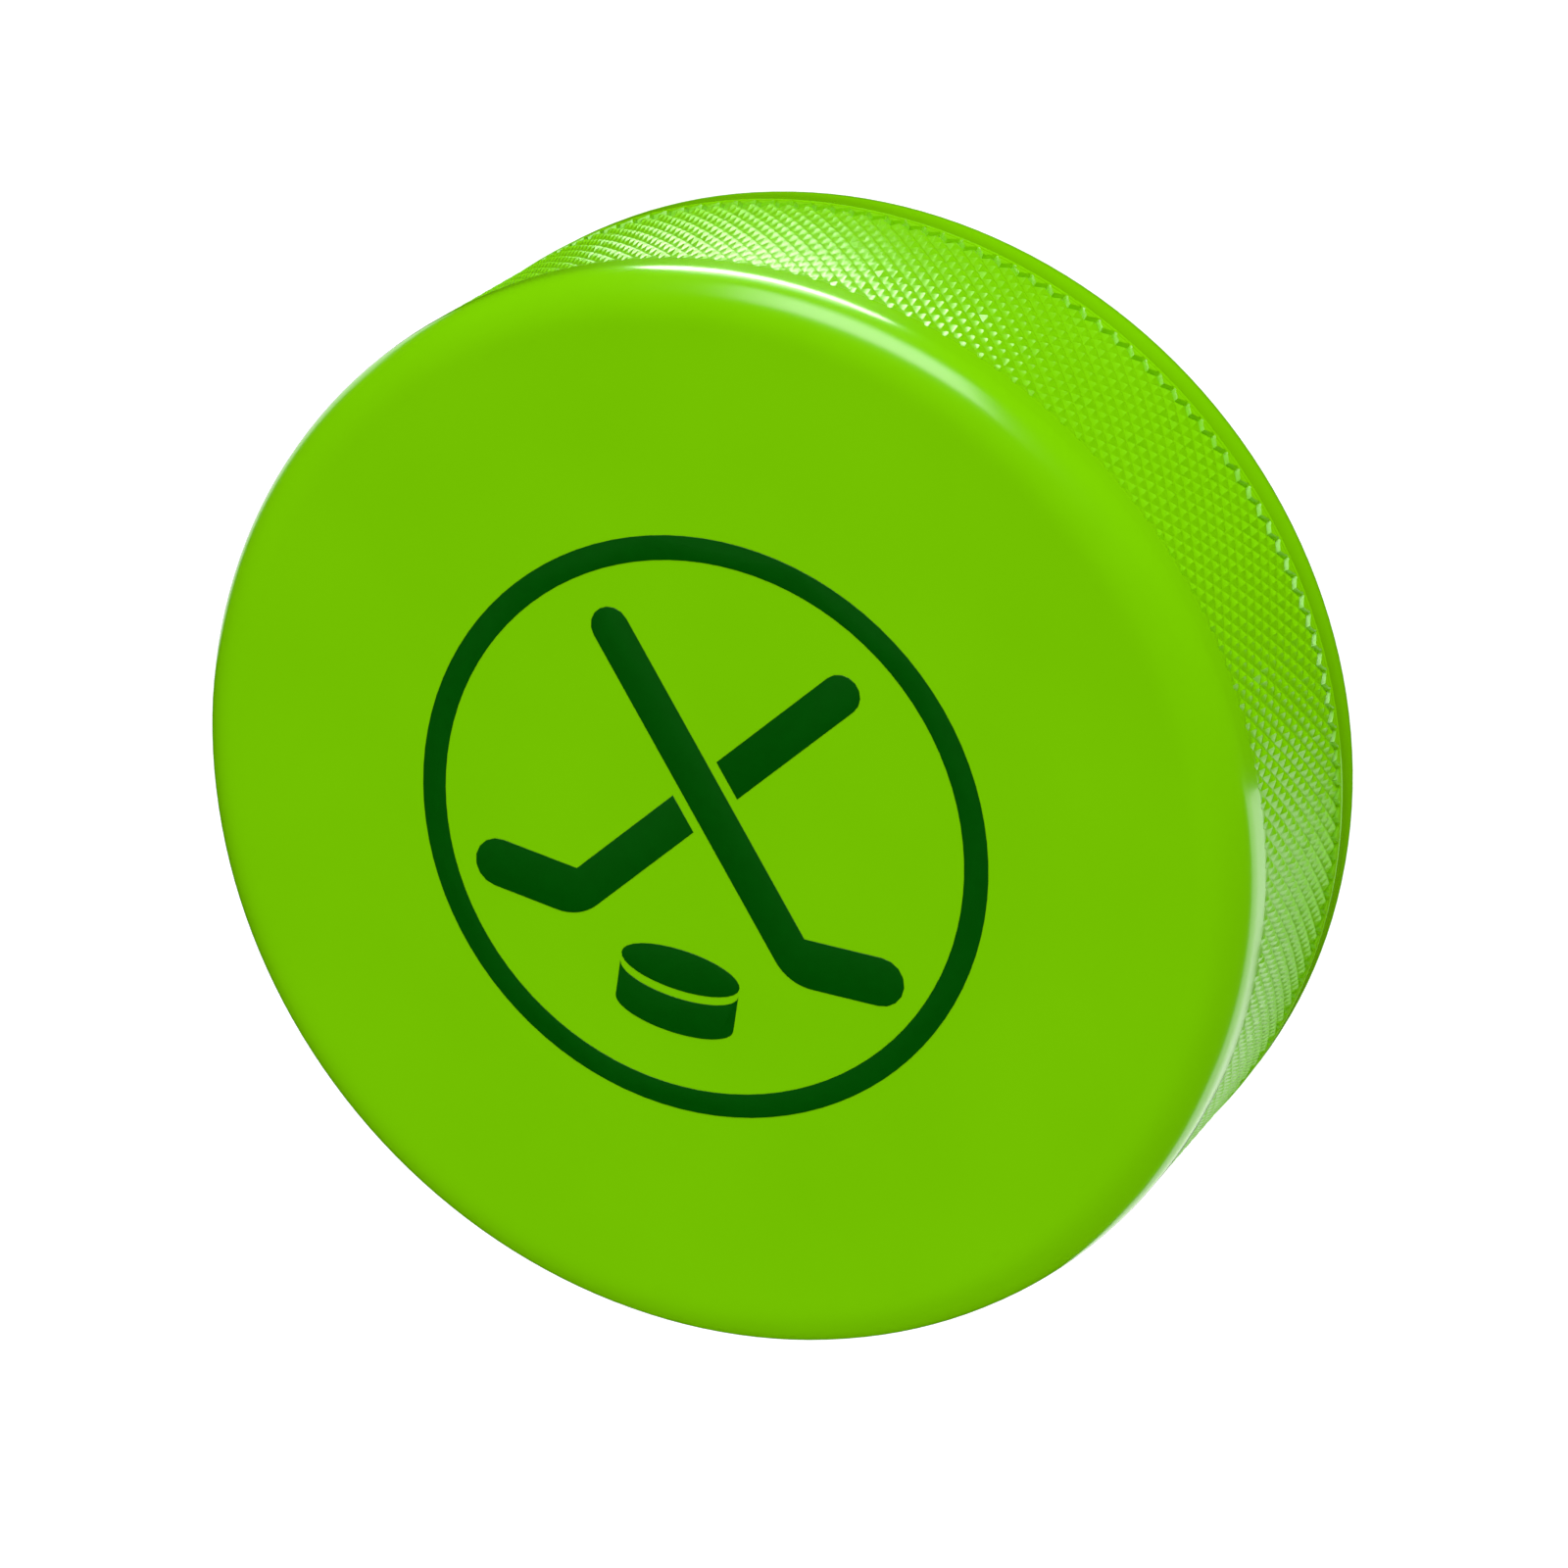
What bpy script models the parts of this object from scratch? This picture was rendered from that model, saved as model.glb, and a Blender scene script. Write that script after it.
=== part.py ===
"""Regulation-size ice hockey puck: one rubber moulding with a printed emblem on its upper face.

The puck lies flat with its printed face up. Z is the puck's axis, the origin is the centre of the
lower face, and +Y is the emblem's upward direction. Lengths are in metres.
"""
import math

import bmesh
import bpy
from mathutils import Vector

MM = 0.001
INCH = 25.4 * MM

# The moulding
PUCK_DIAMETER = 3.0 * INCH
PUCK_THICKNESS = 1.0 * INCH
EDGE_RADIUS = 3.05 * MM
UPPER_LAND = 1.55 * MM        # smooth wall between the upper rounded edge and the knurled band
LOWER_LAND = 2.35 * MM        # the same below the band
BAND_DEPTH = 0.15 * MM        # how far the middle of the knurl's relief lies under the lands
BAND_SLOPE = 0.20 * MM        # height of the short slope from a land down into the band
TURN_SEGMENTS = 144
EDGE_STEPS = 6

# The printed emblem: a ring round two crossed sticks and a small puck
PRINT_GAP = 0.3 * MM          # clearance kept between the print and the face it lies on
INK_THICKNESS = 0.1 * MM
RING_RADIUS = 20.6 * MM
LINE_WIDTH = 1.7 * MM
RING_SEGMENTS = 96
CROSSING_HEIGHT = 2.5 * MM    # where the sticks cross, above the emblem's middle
STICK_LEAN = math.radians(40)
SHAFT_WIDTH = 2.8 * MM
SHAFT_ABOVE = 14.4 * MM       # from the crossing up to the grip end
SHAFT_BELOW = 12.6 * MM       # from the crossing down to the heel's corner
BLADE_LENGTH = 7.8 * MM
BLADE_WIDTH = 3.5 * MM
BLADE_LIFT = math.radians(4)
HEEL_RADIUS = 3.4 * MM
CROSSING_GAP = 0.7 * MM       # bare strip along the front stick, where the rear one passes behind
ICON_HEIGHT = -10.4 * MM      # middle of the small puck's upper face, below the emblem's
ICON_RADIUS = 4.4 * MM
ICON_FLATNESS = 0.34          # height of its ellipse over its width, as seen aslant
ICON_DEPTH = 2.6 * MM
ICON_GAP = 0.6 * MM
CURVE_STEPS = 8
ICON_STEPS = 32

MERGE_DISTANCE = 0.001 * MM
SHARP_ANGLE = math.radians(40)
RUBBER_GREEN = (0.174, 0.533, 0.001, 1.0)
RUBBER_ROUGHNESS = 0.42
INK_GREEN = (0.0008, 0.063, 0.0008, 1.0)
INK_ROUGHNESS = 0.5


def finish_material(name, colour, roughness):
    """A plain non-metallic Principled material."""
    material = bpy.data.materials.new(name)
    material.use_nodes = True
    shader = material.node_tree.nodes["Principled BSDF"]
    shader.inputs["Base Color"].default_value = colour
    shader.inputs["Roughness"].default_value = roughness
    shader.inputs["Metallic"].default_value = 0.0
    return material


def add_object(name, mesh_builder, material, parent):
    """Turns a finished bmesh into a named, smooth-shaded object with its own material."""
    bmesh.ops.recalc_face_normals(mesh_builder, faces=mesh_builder.faces)
    mesh = bpy.data.meshes.new(name)
    mesh_builder.to_mesh(mesh)
    mesh_builder.free()
    mesh.materials.append(material)
    mesh.shade_smooth()
    mesh.set_sharp_from_angle(angle=SHARP_ANGLE)
    item = bpy.data.objects.new(name, mesh)
    bpy.context.collection.objects.link(item)
    item.parent = parent
    return item


def arc(centre_x, centre_y, radius, start, end, steps):
    """Points along a circular arc, both ends included, with angles in radians."""
    turns = (start + (end - start) * i / steps for i in range(steps + 1))
    return [(centre_x + radius * math.cos(a), centre_y + radius * math.sin(a)) for a in turns]


def puck_profile():
    """The puck's half section as (radius, height), from the axis on top to the axis below."""
    radius = PUCK_DIAMETER / 2
    band_radius = radius - BAND_DEPTH
    edge_centre = radius - EDGE_RADIUS
    band_top = PUCK_THICKNESS - EDGE_RADIUS - UPPER_LAND
    band_bottom = EDGE_RADIUS + LOWER_LAND
    quarter = math.pi / 2
    points = [(0.0, PUCK_THICKNESS)]
    points += arc(edge_centre, PUCK_THICKNESS - EDGE_RADIUS, EDGE_RADIUS, quarter, 0.0, EDGE_STEPS)
    points += [
        (radius, band_top),
        (band_radius, band_top - BAND_SLOPE),
        (band_radius, band_bottom + BAND_SLOPE),
        (radius, band_bottom),
    ]
    points += arc(edge_centre, EDGE_RADIUS, EDGE_RADIUS, 0.0, -quarter, EDGE_STEPS)
    points.append((0.0, 0.0))
    return points


def build_puck(material, parent):
    """The moulding: its half section spun once round the axis."""
    builder = bmesh.new()
    verts = [builder.verts.new((x, 0.0, z)) for x, z in puck_profile()]
    edges = [builder.edges.new(pair) for pair in zip(verts, verts[1:])]
    bmesh.ops.spin(builder, geom=verts + edges, cent=(0, 0, 0), axis=(0, 0, 1),
                   angle=math.tau, steps=TURN_SEGMENTS, use_merge=False)
    bmesh.ops.remove_doubles(builder, verts=builder.verts, dist=MERGE_DISTANCE)
    return add_object("puck_body", builder, material, parent)


def print_level():
    """Height of the underside of the ink."""
    return PUCK_THICKNESS + PRINT_GAP


def build_ring(material, parent):
    """The emblem's ring: a flat rectangular section spun round the axis."""
    outer = RING_RADIUS
    inner = RING_RADIUS - LINE_WIDTH
    low = print_level()
    high = low + INK_THICKNESS
    builder = bmesh.new()
    corners = [(inner, low), (outer, low), (outer, high), (inner, high)]
    verts = [builder.verts.new((x, 0.0, z)) for x, z in corners]
    edges = [builder.edges.new((verts[i], verts[i - 1])) for i in range(len(verts))]
    bmesh.ops.spin(builder, geom=verts + edges, cent=(0, 0, 0), axis=(0, 0, 1),
                   angle=math.tau, steps=RING_SEGMENTS, use_merge=False)
    bmesh.ops.remove_doubles(builder, verts=builder.verts, dist=MERGE_DISTANCE)
    return add_object("print_ring", builder, material, parent)


def build_plate(name, outline, material, parent):
    """One island of ink: a closed outline filled and extruded to the ink's thickness."""
    builder = bmesh.new()
    low = print_level()
    verts = [builder.verts.new((x, y, low)) for x, y in outline]
    face = builder.faces.new(verts)
    raised = bmesh.ops.extrude_face_region(builder, geom=[face])["geom"]
    lifted = [item for item in raised if isinstance(item, bmesh.types.BMVert)]
    bmesh.ops.translate(builder, verts=lifted, vec=(0, 0, INK_THICKNESS))
    return add_object(name, builder, material, parent)


class Stick:
    """Outline of one stick, which runs down from its grip end to a heel and out to its toe.

    side is +1 when the blade points to +X and -1 when it points to -X.
    """

    def __init__(self, side):
        self.side = side
        self.down = Vector((side * math.sin(STICK_LEAN), -math.cos(STICK_LEAN)))
        self.across = Vector((-self.down.y, self.down.x)) * side
        self.along_blade = Vector((side * math.cos(BLADE_LIFT), math.sin(BLADE_LIFT)))
        self.up_blade = Vector((-self.along_blade.y, self.along_blade.x)) * side
        self.crossing = Vector((0.0, CROSSING_HEIGHT))
        self.heel = self.crossing + self.down * SHAFT_BELOW

    def shaft_point(self, along, sideways):
        """A point on the shaft: along it from the crossing, and sideways towards the blade's side."""
        return self.crossing + self.down * along + self.across * sideways

    def grip_end(self):
        """The rounded grip end, from the shaft's inner edge round to its outer edge."""
        half = SHAFT_WIDTH / 2
        turns = [math.pi * i / CURVE_STEPS for i in range(CURVE_STEPS + 1)]
        top = half - SHAFT_ABOVE
        return [self.shaft_point(top - half * math.sin(a), -half * math.cos(a)) for a in turns]

    def blade(self):
        """The blade, from the shaft's outer edge round the toe and the heel to its inner edge."""
        half = SHAFT_WIDTH / 2
        toe_radius = BLADE_WIDTH / 2
        rise = self.across.dot(self.up_blade)
        slope = self.down.dot(self.up_blade)
        throat = self.shaft_point(SHAFT_BELOW + (toe_radius - half * rise) / slope, half)
        toe = self.heel + self.along_blade * (BLADE_LENGTH - toe_radius)
        turns = [math.pi * (0.5 - i / CURVE_STEPS) for i in range(CURVE_STEPS + 1)]
        points = [throat]
        points += [toe + self.along_blade * toe_radius * math.cos(a)
                   + self.up_blade * toe_radius * math.sin(a) for a in turns]
        points += self.heel_arc()
        return points

    def heel_arc(self):
        """The heel's round corner, between the blade's sole and the shaft's inner edge."""
        half = SHAFT_WIDTH / 2
        sole = self.heel - self.up_blade * (BLADE_WIDTH / 2)
        bend = self.down.angle(self.along_blade)
        run = HEEL_RADIUS * math.tan(bend / 2)
        shaft_side = self.shaft_point(SHAFT_BELOW, -half)
        drop = (sole - shaft_side).dot(self.up_blade) / self.down.dot(self.up_blade)
        corner = shaft_side + self.down * drop
        centre = corner + self.along_blade * run + self.up_blade * HEEL_RADIUS
        first = (corner + self.along_blade * run) - centre
        turns = [bend * i / CURVE_STEPS for i in range(CURVE_STEPS + 1)]
        swing = -self.side
        points = []
        for a in turns:
            turned = Vector((
                first.x * math.cos(swing * a) - first.y * math.sin(swing * a),
                first.x * math.sin(swing * a) + first.y * math.cos(swing * a),
            ))
            points.append(centre + turned)
        return points

    def whole(self):
        """The outline of a stick that nothing interrupts."""
        return self.grip_end() + self.blade()

    def cut_by(self, front, end):
        """The two points where this shaft stops beside the front stick; end is -1 above, +1 below."""
        half = SHAFT_WIDTH / 2
        clear = half + CROSSING_GAP
        points = []
        for sideways in (-half, half):
            reach = clear / abs(self.down.dot(front.across))
            skew = sideways * self.across.dot(front.across) / self.down.dot(front.across)
            points.append(self.shaft_point(end * reach - skew, sideways))
        return points

    def above(self, front):
        """The outline of the grip half of a stick that passes behind another."""
        inner, outer = self.cut_by(front, -1)
        return self.grip_end() + [outer, inner]

    def below(self, front):
        """The outline of the blade half of a stick that passes behind another."""
        inner, outer = self.cut_by(front, 1)
        return [inner, outer] + self.blade()


def ellipse_arc(height, start, end):
    """Points along the small puck's flattened rim, centred at a height on the emblem's midline."""
    round_arc = arc(0.0, 0.0, ICON_RADIUS, start, end, ICON_STEPS)
    return [(x, height + y * ICON_FLATNESS) for x, y in round_arc]


def build_emblem(material, parent):
    """Every island of the print."""
    front = Stick(1)
    rear = Stick(-1)
    build_ring(material, parent)
    build_plate("print_front_stick", front.whole(), material, parent)
    build_plate("print_rear_stick_grip", rear.above(front), material, parent)
    build_plate("print_rear_stick_blade", rear.below(front), material, parent)
    small_top = ellipse_arc(ICON_HEIGHT, 0.0, math.tau)[:-1]
    build_plate("print_small_puck_top", small_top, material, parent)
    side_top = ellipse_arc(ICON_HEIGHT - ICON_GAP, math.pi, math.tau)
    side_bottom = ellipse_arc(ICON_HEIGHT - ICON_GAP - ICON_DEPTH, math.tau, math.pi)
    build_plate("print_small_puck_side", side_top + side_bottom, material, parent)


def main():
    for item in list(bpy.data.objects):
        bpy.data.objects.remove(item)
    puck = bpy.data.objects.new("puck", None)
    bpy.context.collection.objects.link(puck)
    rubber = finish_material("green_rubber", RUBBER_GREEN, RUBBER_ROUGHNESS)
    ink = finish_material("dark_green_ink", INK_GREEN, INK_ROUGHNESS)
    build_puck(rubber, puck)
    build_emblem(ink, puck)


main()
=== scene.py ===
"""A regulation ice hockey puck in bright green rubber, with a knurled wall and a printed emblem.

Everything is in metres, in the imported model's own frame: the puck lies on its lower face, Z is its
axis, and +Y is the emblem's upward direction.
"""
import math

import bmesh
import bpy
from mathutils import Matrix, Vector


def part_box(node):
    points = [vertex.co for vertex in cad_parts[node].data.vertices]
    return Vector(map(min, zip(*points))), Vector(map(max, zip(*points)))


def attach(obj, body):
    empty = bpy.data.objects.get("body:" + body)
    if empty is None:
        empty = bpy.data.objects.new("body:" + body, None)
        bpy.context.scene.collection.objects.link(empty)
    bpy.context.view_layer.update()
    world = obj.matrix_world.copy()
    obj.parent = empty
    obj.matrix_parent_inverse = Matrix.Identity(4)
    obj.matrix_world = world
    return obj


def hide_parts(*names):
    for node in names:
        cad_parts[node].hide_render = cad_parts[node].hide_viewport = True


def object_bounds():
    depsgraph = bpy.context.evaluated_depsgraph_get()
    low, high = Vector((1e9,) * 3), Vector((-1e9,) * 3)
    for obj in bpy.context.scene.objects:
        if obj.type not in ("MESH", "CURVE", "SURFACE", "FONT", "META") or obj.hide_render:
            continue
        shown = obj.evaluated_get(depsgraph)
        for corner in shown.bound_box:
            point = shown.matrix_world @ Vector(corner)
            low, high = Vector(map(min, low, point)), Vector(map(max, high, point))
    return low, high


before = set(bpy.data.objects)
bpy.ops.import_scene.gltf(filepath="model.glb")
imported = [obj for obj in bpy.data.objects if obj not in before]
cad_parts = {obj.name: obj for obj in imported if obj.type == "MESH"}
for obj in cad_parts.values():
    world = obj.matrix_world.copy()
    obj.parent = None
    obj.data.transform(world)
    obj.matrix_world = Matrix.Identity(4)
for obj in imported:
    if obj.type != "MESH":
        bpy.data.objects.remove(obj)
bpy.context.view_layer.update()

MM = 0.001

# The moulding, which keeps the CAD body's outer size
EDGE_RADIUS = 3.05 * MM
EDGE_STEPS = 10
UPPER_LAND = 1.55 * MM        # smooth wall between the upper rounded edge and the knurl
KNURL_COLUMNS = 176           # full diamonds round the wall
KNURL_ROWS = 10               # full diamonds from the knurl's lower border to its upper one
KNURL_HEIGHT = 15.4 * MM
KNURL_RELIEF = 0.30 * MM      # from the bottom of a groove to the top of a diamond
RUN_OUT = 0.18 * MM           # where a groove ends and climbs to the land
# Rings of a diamond from its border inwards: share of the way to the middle, and share of the relief
PYRAMID = ((0.05, 0.03), (0.72, 0.84), (0.12, 0.10), (0.05, 0.03))
NOTCH = ((0.06, 0.03), (0.24, 0.94), (0.06, 0.03))    # where the flat land reaches in between two teeth
FACE_HEM = 0.6 * MM           # narrow flat ring that keeps the rounding's shading off the flat face
PARTING_HEIGHT = 5.0 * MM     # the mould's parting line, on the lower land
PARTING_WIDTH = 0.22 * MM
PARTING_RISE = 0.05 * MM
KNURL_ROUGHNESS = 0.10        # added on the knurl, which is duller than the polished rest
KNURL_SHARP = math.radians(30)    # grooves and ridges steeper than this stay crisp
WELD = 0.012 * MM

# The print
PLATE_WELD = 0.001 * MM
INK_SHARP = math.radians(50)
INK_THICKNESS = 0.03 * MM
INK_SINK = 0.004 * MM         # the ink bites into the rubber by this much, so no gap shows
INK_SHOULDER = 0.02 * MM

# The camera, round the puck's middle
CAMERA_AZIMUTH = math.radians(142.56)
CAMERA_ELEVATION = math.radians(59.09)
CAMERA_ROLL = math.radians(-129.8)
CAMERA_DISTANCE = 381.7 * MM
CAMERA_AIM_RIGHT = 0.577 * MM
CAMERA_AIM_UP = -1.025 * MM
CAMERA_LENS = 127.8
SENSOR_WIDTH = 36.0

# The studio, in metres apart from the cards, which are in millimetres
FLOOR_SIZE = 4.0
LAMP_DISTANCE = 0.9
WALL_SIZE = (1.60, 0.80)
WALL_ELEVATION = 25
GLOW_SIZE = (2.40, 2.40)
GLOW_DEPTH = 0.4              # below the floor, which lets its light through
CARD_LIFT = 0.5 * MM          # keeps a card clear of the floor


# ---------------------------------------------------------------- small helpers

def deselect():
    """Leaves nothing selected, so that an operator acts only on what is chosen next."""
    if bpy.context.object and bpy.context.object.mode != "OBJECT":
        bpy.ops.object.mode_set(mode="OBJECT")
    bpy.ops.object.select_all(action="DESELECT")


def activate(item):
    """Selects one object and makes it the active one."""
    deselect()
    item.select_set(True)
    bpy.context.view_layer.objects.active = item


def choose(item, kind, test):
    """In edit mode, selects only the vertices, edges or faces for which test is true."""
    bpy.ops.mesh.select_all(action="DESELECT")
    bpy.ops.mesh.select_mode(type={"verts": "VERT", "edges": "EDGE", "faces": "FACE"}[kind])
    work = bmesh.from_edit_mesh(item.data)
    for part in getattr(work, kind):
        if test(part):
            part.select_set(True)
    work.select_flush_mode()
    bmesh.update_edit_mesh(item.data)


def level_edge(height):
    """A test for border edges that lie level at a height."""
    def test(edge):
        return edge.is_boundary and all(abs(v.co.z - height) < WELD for v in edge.verts)
    return test


def weld():
    """Merges vertices that lie together, in edit mode, all over the mesh."""
    bpy.ops.mesh.select_all(action="SELECT")
    bpy.ops.mesh.remove_doubles(threshold=WELD)


# ---------------------------------------------------------------- the moulding

def puck_radius():
    low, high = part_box("puck_body")
    return (high.x - low.x) / 2


def knurl_low():
    """Height of the knurl's lower border."""
    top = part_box("puck_body")[1].z
    return top - EDGE_RADIUS - UPPER_LAND - KNURL_HEIGHT


def knurl_column(name, height, count, turn, profile):
    """A column of knurl diamonds, one above another, on the +X side and then turned about Z."""
    half_turn = math.pi / KNURL_COLUMNS
    root = puck_radius() - KNURL_RELIEF
    pitch = KNURL_HEIGHT / KNURL_ROWS
    half_width = root * math.sin(half_turn)
    half_height = pitch / 2
    to_edge = half_width * half_height / math.hypot(half_width, half_height)
    bpy.ops.mesh.primitive_circle_add(vertices=4, radius=1.0, fill_type="NGON",
                                      location=(0, 0, 0), rotation=(0, math.pi / 2, 0))
    column = bpy.context.object
    column.name = name
    bpy.ops.object.transform_apply(location=False, rotation=True, scale=False)
    bpy.ops.object.mode_set(mode="EDIT")
    bpy.ops.mesh.select_all(action="SELECT")
    bpy.ops.transform.resize(value=(1, half_width, half_height), center_override=(0, 0, 0))
    bpy.ops.transform.translate(value=(root, 0, height))
    for width, rise in profile:
        bpy.ops.mesh.inset(thickness=width * to_edge, depth=rise * KNURL_RELIEF)
    bpy.ops.object.mode_set(mode="OBJECT")
    stack = column.modifiers.new("stack", "ARRAY")
    stack.count = count
    stack.use_relative_offset = False
    stack.use_constant_offset = True
    stack.constant_offset_displace = (0, 0, pitch)
    bpy.ops.object.modifier_apply(modifier="stack")
    column.rotation_euler.z = turn
    bpy.ops.object.transform_apply(location=False, rotation=True, scale=False)
    return column


def end_knurl(wall, border, direction, land_end):
    """Runs the grooves out at one border of the wedge and adds its strip of smooth land."""
    radius = puck_radius()
    half_turn = math.pi / KNURL_COLUMNS
    widen = radius * math.tan(half_turn) / ((radius - KNURL_RELIEF) * math.sin(half_turn))
    run_out = border + direction * RUN_OUT
    choose(wall, "edges", level_edge(border))
    bpy.ops.mesh.extrude_region_move(TRANSFORM_OT_translate={"value": (0, 0, run_out - border)})
    bpy.ops.transform.resize(value=(0, widen, 1), center_override=(radius, 0, run_out))
    side = radius * math.tan(half_turn) - WELD
    choose(wall, "verts", lambda v: abs(v.co.z - run_out) < WELD and abs(v.co.y) > side)
    bpy.ops.mesh.extrude_region_move(TRANSFORM_OT_translate={"value": (0, 0, land_end - run_out)})
    choose(wall, "verts", lambda v: (v.co.z - run_out) * direction > -WELD)
    bpy.ops.mesh.edge_face_add()


def wall_wedge():
    """One pitch of the wall: two staggered columns of diamonds, with smooth land above and below."""
    low = knurl_low()
    high = low + KNURL_HEIGHT
    pitch = KNURL_HEIGHT / KNURL_ROWS
    half_turn = math.pi / KNURL_COLUMNS
    middle = knurl_column("puck_moulding", low + pitch, KNURL_ROWS - 1, 0.0, PYRAMID)
    others = [
        knurl_column("beside", low + pitch / 2, KNURL_ROWS, half_turn, PYRAMID),
        knurl_column("lower_notch", low, 1, 0.0, NOTCH),
        knurl_column("upper_notch", high, 1, 0.0, NOTCH),
    ]
    activate(middle)
    for column in others:
        column.select_set(True)
    bpy.ops.object.join()
    bpy.ops.object.mode_set(mode="EDIT")
    weld()
    bpy.ops.mesh.bisect(plane_co=(0, 0, low), plane_no=(0, 0, 1), clear_inner=True)
    bpy.ops.mesh.select_all(action="SELECT")
    bpy.ops.mesh.bisect(plane_co=(0, 0, high), plane_no=(0, 0, 1), clear_outer=True)
    weld()
    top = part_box("puck_body")[1].z
    end_knurl(middle, high, 1, top - EDGE_RADIUS)
    end_knurl(middle, low, -1, PARTING_HEIGHT + PARTING_WIDTH / 2)
    return middle


def extrude_ring(puck, height, rise, radius, new_radius):
    """Extrudes the border ring that lies level at a height, up by rise and in or out to a new radius."""
    choose(puck, "edges", level_edge(height))
    bpy.ops.mesh.extrude_region_move(TRANSFORM_OT_translate={"value": (0, 0, rise)})
    scale = new_radius / radius
    bpy.ops.transform.resize(value=(scale, scale, 1), center_override=(0, 0, height + rise))


def round_edge(puck, start, direction):
    """Rolls the wall over into a flat face, from the height where the rounding starts."""
    radius = puck_radius()
    centre = radius - EDGE_RADIUS
    height, reach = start, radius
    for step in range(1, EDGE_STEPS + 1):
        turn = math.pi / 2 * step / EDGE_STEPS
        new_height = start + direction * EDGE_RADIUS * math.sin(turn)
        new_reach = centre + EDGE_RADIUS * math.cos(turn)
        extrude_ring(puck, height, new_height - height, reach, new_reach)
        height, reach = new_height, new_reach
    bpy.ops.mesh.edge_face_add()
    bpy.ops.mesh.inset(thickness=FACE_HEM, depth=0)


def build_puck():
    """The whole moulding: one wedge of wall spun into a ring, then rolled over at both ends."""
    puck = wall_wedge()
    radius = puck_radius()
    bpy.ops.mesh.select_all(action="SELECT")
    bpy.ops.mesh.spin(steps=KNURL_COLUMNS, dupli=True, angle=math.tau,
                      center=(0, 0, 0), axis=(0, 0, 1))
    weld()
    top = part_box("puck_body")[1].z
    ring_radius = radius / math.cos(math.pi / KNURL_COLUMNS)
    upper = PARTING_HEIGHT + PARTING_WIDTH / 2
    lower = PARTING_HEIGHT - PARTING_WIDTH / 2
    round_edge(puck, top - EDGE_RADIUS, 1)
    extrude_ring(puck, upper, PARTING_HEIGHT - upper, ring_radius, ring_radius + PARTING_RISE)
    extrude_ring(puck, PARTING_HEIGHT, lower - PARTING_HEIGHT, ring_radius + PARTING_RISE, ring_radius)
    extrude_ring(puck, lower, EDGE_RADIUS - lower, radius, radius)
    round_edge(puck, EDGE_RADIUS, -1)
    bpy.ops.mesh.select_all(action="SELECT")
    bpy.ops.mesh.normals_make_consistent(inside=False)
    bpy.ops.object.mode_set(mode="OBJECT")
    bpy.ops.object.shade_smooth_by_angle(angle=KNURL_SHARP)
    return puck


# ---------------------------------------------------------------- the print

def build_ink(node):
    """One island of the print: the CAD plate laid on the face as a thin film with a soft shoulder."""
    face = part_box("puck_body")[1].z
    ink = bpy.data.objects.new(node.replace("print_", "ink_"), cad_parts[node].data.copy())
    bpy.context.scene.collection.objects.link(ink)
    low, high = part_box(node)
    activate(ink)
    bpy.ops.object.mode_set(mode="EDIT")
    bpy.ops.mesh.select_all(action="SELECT")
    bpy.ops.mesh.remove_doubles(threshold=PLATE_WELD)
    bpy.ops.mesh.dissolve_limited(angle_limit=math.radians(1))
    flatten = (INK_THICKNESS + INK_SINK) / (high.z - low.z)
    bpy.ops.mesh.select_all(action="SELECT")
    bpy.ops.transform.resize(value=(1, 1, flatten), center_override=(0, 0, low.z))
    bpy.ops.transform.translate(value=(0, 0, face - INK_SINK - low.z))
    choose(ink, "edges", lambda e: all(v.co.z > face for v in e.verts)
           and any(abs(f.normal.z) < 0.5 for f in e.link_faces))
    bpy.ops.mesh.bevel(offset=INK_SHOULDER, segments=2, affect="EDGES")
    bpy.ops.object.mode_set(mode="OBJECT")
    bpy.ops.object.shade_smooth_by_angle(angle=INK_SHARP)
    return ink


# ---------------------------------------------------------------- materials

def srgb(code):
    """A hex colour, such as "73C100", as linear RGBA."""
    values = [int(code[i:i + 2], 16) / 255 for i in (0, 2, 4)]
    linear = [v / 12.92 if v <= 0.04045 else ((v + 0.055) / 1.055) ** 2.4 for v in values]
    return (*linear, 1.0)


def per_metre(size_mm):
    """The texture scale that makes a pattern's cells this many millimetres across."""
    return 1000.0 / size_mm


def add_node(tree, kind, settings=None, inputs=None):
    """Adds a node, sets its options, and sets or links its inputs."""
    item = tree.nodes.new(kind)
    for name, value in (settings or {}).items():
        setattr(item, name, value)
    for name, value in (inputs or {}).items():
        if isinstance(value, bpy.types.NodeSocket):
            tree.links.new(value, item.inputs[name])
        else:
            item.inputs[name].default_value = value
    return item


def new_material(name):
    """An empty node material, its tree and its Principled shader."""
    material = bpy.data.materials.new(name)
    material.use_nodes = True
    tree = material.node_tree
    return material, tree, tree.nodes["Principled BSDF"]


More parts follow.
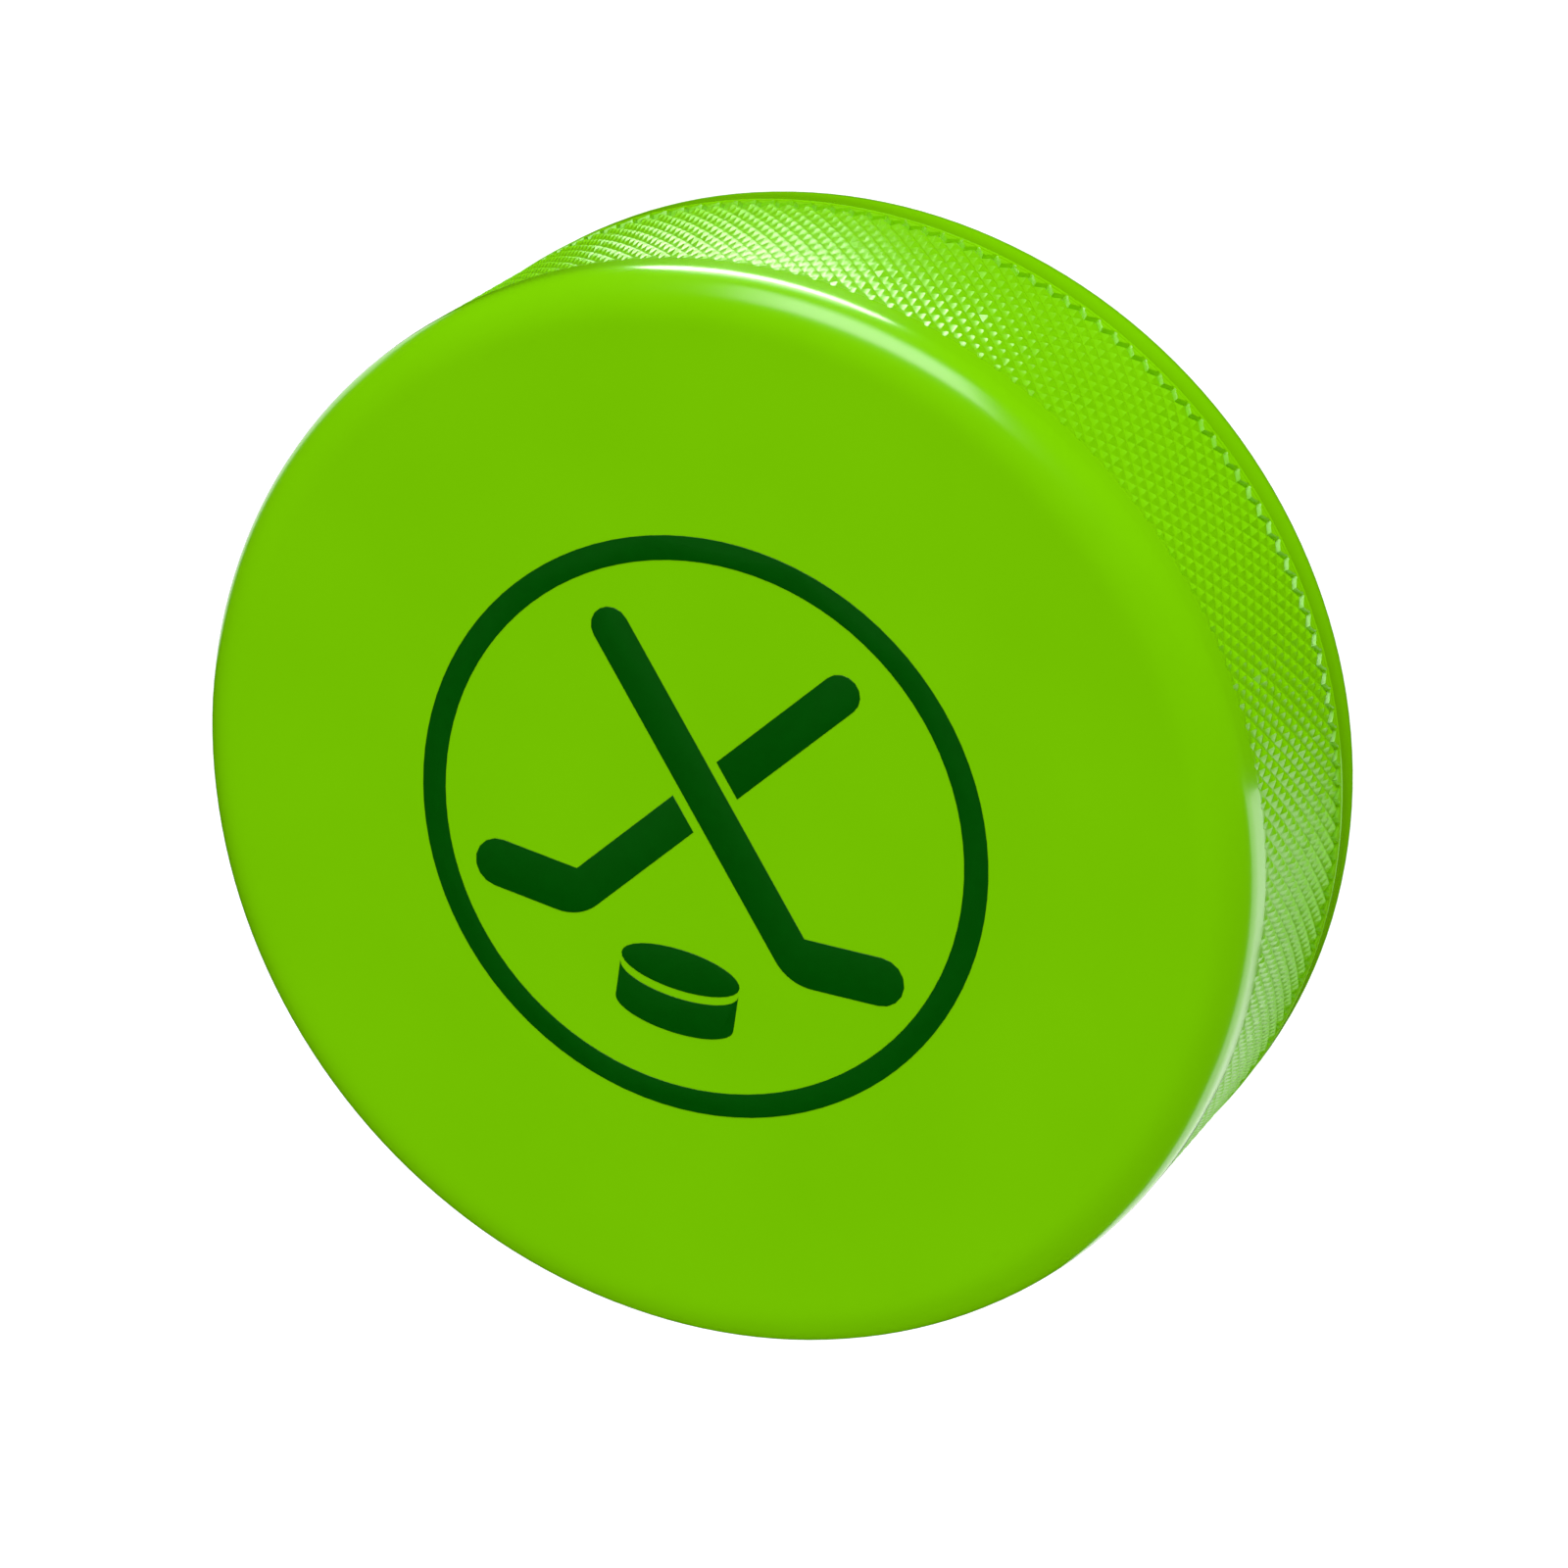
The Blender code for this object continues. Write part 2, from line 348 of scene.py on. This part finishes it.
def lime_rubber():
    """Vulcanised rubber in a bright lime pigment, moulded against polished steel: an even, saturated
    colour with a satin gloss, a duller knurl, a faint orange-peel skin and a slightly cloudy pigment."""
    material, tree, shader = new_material("moulded_lime_rubber")
    place = add_node(tree, "ShaderNodeTexCoord").outputs["Object"]
    cloud = add_node(tree, "ShaderNodeTexNoise", inputs={
        "Vector": place, "Scale": per_metre(14.0), "Detail": 3.0, "Roughness": 0.5})
    tint = add_node(tree, "ShaderNodeMix", {"data_type": "RGBA"}, {
        "Factor": cloud.outputs["Fac"], "A": srgb("70BC00"), "B": srgb("76C302")})
    tree.links.new(tint.outputs["Result"], shader.inputs["Base Color"])
    skin = add_node(tree, "ShaderNodeTexNoise", inputs={
        "Vector": place, "Scale": per_metre(0.7), "Detail": 2.0, "Roughness": 0.45})
    height = add_node(tree, "ShaderNodeSeparateXYZ", inputs={"Vector": place}).outputs["Z"]
    middle = knurl_low() + KNURL_HEIGHT / 2
    away = add_node(tree, "ShaderNodeMath", {"operation": "SUBTRACT"}, {0: height, 1: middle})
    away = add_node(tree, "ShaderNodeMath", {"operation": "ABSOLUTE"}, {0: away.outputs["Value"]})
    etched = add_node(tree, "ShaderNodeMapRange", inputs={
        "Value": away.outputs["Value"],
        "From Min": KNURL_HEIGHT / 2, "From Max": KNURL_HEIGHT / 2 + RUN_OUT,
        "To Min": KNURL_ROUGHNESS, "To Max": 0.0})
    gloss = add_node(tree, "ShaderNodeMapRange", inputs={
        "Value": cloud.outputs["Fac"], "From Min": 0.3, "From Max": 0.7,
        "To Min": 0.18, "To Max": 0.22})
    gloss = add_node(tree, "ShaderNodeMath", {"operation": "ADD"}, {
        0: gloss.outputs["Result"], 1: etched.outputs["Result"]})
    tree.links.new(gloss.outputs["Value"], shader.inputs["Roughness"])
    bump = add_node(tree, "ShaderNodeBump", inputs={
        "Height": skin.outputs["Fac"], "Strength": 0.5, "Distance": 0.004 * MM})
    tree.links.new(bump.outputs["Normal"], shader.inputs["Normal"])
    shader.inputs["IOR"].default_value = 1.5
    return material


def pad_ink():
    """Solvent ink laid on by pad printing: a flat dark green film, a little duller than the rubber,
    with a fine mottle where it took to the skin."""
    material, tree, shader = new_material("dark_green_pad_ink")
    place = add_node(tree, "ShaderNodeTexCoord").outputs["Object"]
    mottle = add_node(tree, "ShaderNodeTexNoise", inputs={
        "Vector": place, "Scale": per_metre(0.9), "Detail": 4.0, "Roughness": 0.6})
    tint = add_node(tree, "ShaderNodeMix", {"data_type": "RGBA"}, {
        "Factor": mottle.outputs["Fac"], "A": srgb("004300"), "B": srgb("004B02")})
    tree.links.new(tint.outputs["Result"], shader.inputs["Base Color"])
    bump = add_node(tree, "ShaderNodeBump", inputs={
        "Height": mottle.outputs["Fac"], "Strength": 0.4, "Distance": 0.003 * MM})
    tree.links.new(bump.outputs["Normal"], shader.inputs["Normal"])
    shader.inputs["Roughness"].default_value = 0.5
    shader.inputs["IOR"].default_value = 1.48
    return material


def studio_white():
    """Matt white acrylic lit from behind, which reads as pure white and shows no shadow."""
    material, tree, shader = new_material("backlit_white_acrylic")
    shader.inputs["Base Color"].default_value = srgb("959595")
    shader.inputs["Roughness"].default_value = 0.9
    shader.inputs["Specular IOR Level"].default_value = 0.0
    shader.inputs["Emission Color"].default_value = srgb("FFFFFF")
    shader.inputs["Emission Strength"].default_value = 0.9
    return material


# ---------------------------------------------------------------- studio

def build_floor():
    """A wide plain floor at the height of the puck's lower face. Only the camera sees it: the
    lamps below stand in for the light that it gives and sends back."""
    bpy.ops.mesh.primitive_plane_add(size=FLOOR_SIZE, location=(0, 0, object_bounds()[0][2]))
    floor = bpy.context.object
    floor.name = "floor"
    floor.data.materials.append(studio_white())
    floor.visible_glossy = False
    floor.visible_diffuse = False
    floor.visible_shadow = False


def place_round(azimuth, elevation, distance, centre):
    """A point at an azimuth and elevation round a centre. Azimuth 0 is on the -Y side, 90 on +X."""
    flat = math.cos(elevation)
    away = Vector((math.sin(azimuth) * flat, -math.cos(azimuth) * flat, math.sin(elevation)))
    return centre + away * distance


def look_at(item, target):
    """Turns a camera or light to face a point, upright."""
    item.rotation_euler = (target - item.location).to_track_quat("-Z", "Y").to_euler()


def build_camera(centre):
    """The camera, turned about its own line of sight by the roll."""
    data = bpy.data.cameras.new("camera")
    data.lens = CAMERA_LENS
    data.sensor_width = SENSOR_WIDTH
    camera = bpy.data.objects.new("camera", data)
    bpy.context.scene.collection.objects.link(camera)
    camera.location = place_round(CAMERA_AZIMUTH, CAMERA_ELEVATION, CAMERA_DISTANCE, centre)
    upright = (centre - camera.location).to_track_quat("-Z", "Y").to_matrix().to_4x4()
    turned = upright @ Matrix.Rotation(CAMERA_ROLL, 4, "Z")
    shift = turned @ Vector((CAMERA_AIM_RIGHT, CAMERA_AIM_UP, 0))
    camera.matrix_world = Matrix.Translation(camera.location + shift) @ turned
    bpy.context.scene.camera = camera


def add_lamp(name, size, brightness, glossy, diffuse):
    """A rectangular lamp that the camera doesn't see. Brightness 1 is that of a white surface.
    A lamp that reflections don't show is sampled only as a lamp, so that none of it leaks into them."""
    data = bpy.data.lights.new(name, "AREA")
    data.shape = "RECTANGLE"
    data.size, data.size_y = size
    data.energy = brightness * math.pi * size[0] * size[1]
    lamp = bpy.data.objects.new(name, data)
    bpy.context.scene.collection.objects.link(lamp)
    lamp.visible_camera = False
    lamp.visible_glossy = glossy
    lamp.visible_diffuse = diffuse
    data.cycles.use_multiple_importance_sampling = glossy
    return lamp


def studio_lamp(name, centre, azimuth, elevation, size, brightness, glossy=True):
    """A soft lamp that faces the puck from a studio distance, placed by angles in degrees."""
    lamp = add_lamp(name, size, brightness, glossy, True)
    lamp.location = place_round(math.radians(azimuth), math.radians(elevation), LAMP_DISTANCE, centre)
    look_at(lamp, centre)


def floor_card(name, across, along, size, turn, brightness):
    """A card on the floor that only shows as a reflection in the puck's wall and rounded edges.
    Its place and size are in millimetres and its turn in degrees."""
    lamp = add_lamp(name, (size[0] * MM, size[1] * MM), brightness, True, False)
    lamp.location = (across * MM, along * MM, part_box("puck_body")[0].z + CARD_LIFT)
    lamp.rotation_euler = (math.pi, 0, math.radians(turn))


def build_lights(centre):
    """A softbox behind the puck, even walls of light round it, and cards that draw its highlights."""
    world = bpy.data.worlds.new("white_room")
    bpy.context.scene.world = world
    world.use_nodes = True
    sky = world.node_tree.nodes["Background"]
    sky.inputs["Color"].default_value = srgb("FFFFFF")
    world.cycles.sampling_method = "NONE"
    world.cycles_visibility.diffuse = False
    world.cycles_visibility.glossy = False
    studio_lamp("softbox", centre, -174, 15, (0.66, 0.62), 3.6)
    studio_lamp("softbox_core", centre, -176, 17, (0.50, 0.44), 3.2)
    studio_lamp("top_wall", centre, 0, 89, (1.60, 1.60), 0.75, glossy=False)
    walls = (("front_wall", 0, 1.2), ("right_wall", 90, 1.1),
             ("back_wall", 180, 0.5), ("left_wall", -90, 0.8))
    for name, azimuth, brightness in walls:
        studio_lamp(name, centre, azimuth, WALL_ELEVATION, WALL_SIZE, brightness, glossy=False)
    glow = add_lamp("floor_glow", GLOW_SIZE, 1.35, False, True)
    glow.location = (0, 0, -GLOW_DEPTH)
    glow.rotation_euler = (math.pi, 0, 0)
    floor_card("line_card", -14, 58, (34, 10), 15, 15.5)
    floor_card("back_card", -17, 66, (28, 22), 20, 4.0)
    floor_card("left_card", -60, 8, (36, 44), 0, 1.1)
    floor_card("right_card", 61, -20, (27, 62), 10, 1.7)
    floor_card("near_card", 49, -28, (26, 46), -30, 1.5)


# ---------------------------------------------------------------- assembly

def main():
    low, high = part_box("puck_body")
    centre = Vector(((low.x + high.x) / 2, (low.y + high.y) / 2, (low.z + high.z) / 2))
    deselect()
    build_camera(centre)
    rubber = lime_rubber()
    ink_finish = pad_ink()
    puck = build_puck()
    puck.data.materials.clear()
    puck.data.materials.append(rubber)
    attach(puck, "root")
    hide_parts("puck_body")
    for node in sorted(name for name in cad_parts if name.startswith("print_")):
        ink = build_ink(node)
        ink.data.materials.clear()
        ink.data.materials.append(ink_finish)
        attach(ink, "root")
        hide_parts(node)
    build_floor()
    build_lights(centre)
    bpy.context.scene.view_settings.view_transform = "Standard"


main()
